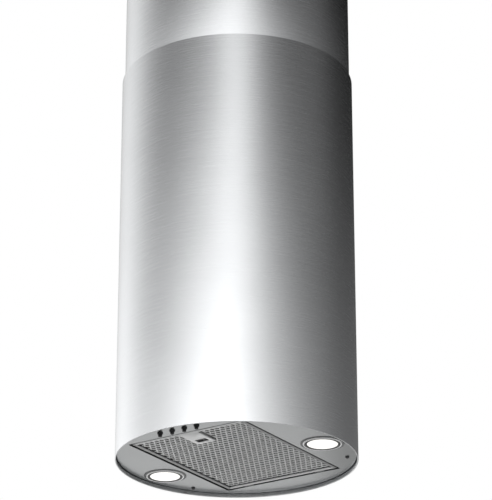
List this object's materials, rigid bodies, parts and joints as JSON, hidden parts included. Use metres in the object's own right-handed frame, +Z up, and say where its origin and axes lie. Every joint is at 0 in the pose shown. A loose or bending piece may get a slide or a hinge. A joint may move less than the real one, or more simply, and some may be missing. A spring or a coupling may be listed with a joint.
{
  "type": "island range hood",
  "caption": "Round telescopic island range hood: brushed steel cylinder hung from the ceiling, lamps, push buttons and a grease filter that swings down from its underside.",
  "frame": {"origin": "centre of the ceiling plate's upper face, on the hood's vertical axis", "axes": "+Z up along the hood's axis, -Y towards the front, where the buttons are, +X to the right seen from the front"},
  "size_m": [0.4, 0.4, 1.1],
  "materials": {
    "stainless": "long-grain brushed stainless sheet, satin",
    "zinc": "zinc-coated sheet, dull",
    "aluminium": "plain satin aluminium",
    "chrome": "bright plated",
    "black_plastic": "black, fine matt texture",
    "grey_plastic": "grey, matt moulded",
    "white_plastic": "white, matt moulded",
    "glass": "frosted lamp front",
    "dark_steel": "black-oxide steel"
  },
  "bodies": {
    "ceiling_frame": {"ceiling_plate": "zinc", "upper_tube": "stainless", "tube_screw_left": "chrome", "tube_screw_right": "chrome", "upper_post_front_left": "zinc", "upper_post_front_right": "zinc", "upper_post_rear_left": "zinc", "upper_post_rear_right": "zinc"},
    "lower_unit": {"lower_shell": "stainless", "support_plate": "zinc", "hanger_front": "zinc", "hanger_rear": "zinc", "blower_housing": "grey_plastic", "inlet_ring_left": "grey_plastic", "inlet_ring_right": "grey_plastic", "motor": "dark_steel", "motor_mount": "zinc", "outlet_collar": "grey_plastic", "flap_pin": "chrome", "junction_box": "white_plastic", "junction_cover": "white_plastic", "cable_gland": "black_plastic", "capacitor": "white_plastic", "lamp_transformer": "black_plastic", "base_panel": "stainless", "panel_bracket_left": "zinc", "panel_bracket_right": "zinc", "panel_screw_left": "dark_steel", "panel_screw_right": "dark_steel", "switch_block": "black_plastic", "lower_post_front_left": "zinc", "lower_post_front_right": "zinc", "lower_post_rear_left": "zinc", "lower_post_rear_right": "zinc", "lamp_ring_left": "chrome", "lamp_ring_right": "chrome", "lamp_glass_left": "glass", "lamp_glass_right": "glass", "lamp_reflector_left": "chrome", "lamp_reflector_right": "chrome", "lamp_holder_left": "white_plastic", "lamp_holder_right": "white_plastic"},
    "filter": {"filter_frame": "aluminium", "filter_mesh_front": "aluminium", "filter_core": "aluminium", "filter_mesh_back": "aluminium", "latch_plate": "aluminium", "latch_spring": "chrome", "filter_tab_left": "aluminium", "filter_tab_right": "aluminium"},
    "filter_latch": {"latch_slider": "black_plastic"},
    "button_1": {"button_1": "black_plastic"},
    "button_2": {"button_2": "black_plastic"},
    "button_3": {"button_3": "black_plastic"},
    "button_4": {"button_4": "black_plastic"},
    "impeller": {"impeller": "black_plastic", "motor_shaft": "chrome"},
    "flap_front": {"flap_front": "black_plastic"},
    "flap_rear": {"flap_rear": "black_plastic"}
  },
  "joints": [
    {"name": "height_slide", "type": "slide", "parent": "ceiling_frame", "child": "lower_unit", "axis": [0, 0, 1], "range_m": [-0.05, 0.15]},
    {"name": "filter_hinge", "type": "hinge", "parent": "lower_unit", "child": "filter", "pos_m": [0, 0.1435, -1.0925], "axis": [1, 0, 0], "range_deg": [0, 80]},
    {"name": "latch_slide", "type": "slide", "parent": "filter", "child": "filter_latch", "axis": [0, 1, 0], "range_m": [0, 0.005], "stiffness_N_per_m": 400, "springref_m": -0.004, "deforming": ["latch_spring"]},
    {"name": "button_1_press", "type": "slide", "parent": "lower_unit", "child": "button_1", "axis": [0, 0, 1], "range_m": [0, 0.003], "stiffness_N_per_m": 400, "springref_m": -0.002},
    {"name": "button_2_press", "type": "slide", "parent": "lower_unit", "child": "button_2", "axis": [0, 0, 1], "range_m": [0, 0.003], "stiffness_N_per_m": 400, "springref_m": -0.002},
    {"name": "button_3_press", "type": "slide", "parent": "lower_unit", "child": "button_3", "axis": [0, 0, 1], "range_m": [0, 0.003], "stiffness_N_per_m": 400, "springref_m": -0.002},
    {"name": "button_4_press", "type": "slide", "parent": "lower_unit", "child": "button_4", "axis": [0, 0, 1], "range_m": [0, 0.003], "stiffness_N_per_m": 400, "springref_m": -0.002},
    {"name": "impeller_spin", "type": "hinge", "parent": "lower_unit", "child": "impeller", "pos_m": [0, -0.06, -0.85], "axis": [1, 0, 0], "continuous": true},
    {"name": "flap_front_hinge", "type": "hinge", "parent": "lower_unit", "child": "flap_front", "pos_m": [0, 0, -0.625], "axis": [-1, 0, 0], "range_deg": [0, 80]},
    {"name": "flap_rear_hinge", "type": "hinge", "parent": "lower_unit", "child": "flap_rear", "pos_m": [0, 0, -0.625], "axis": [1, 0, 0], "range_deg": [0, 80]}
  ]
}
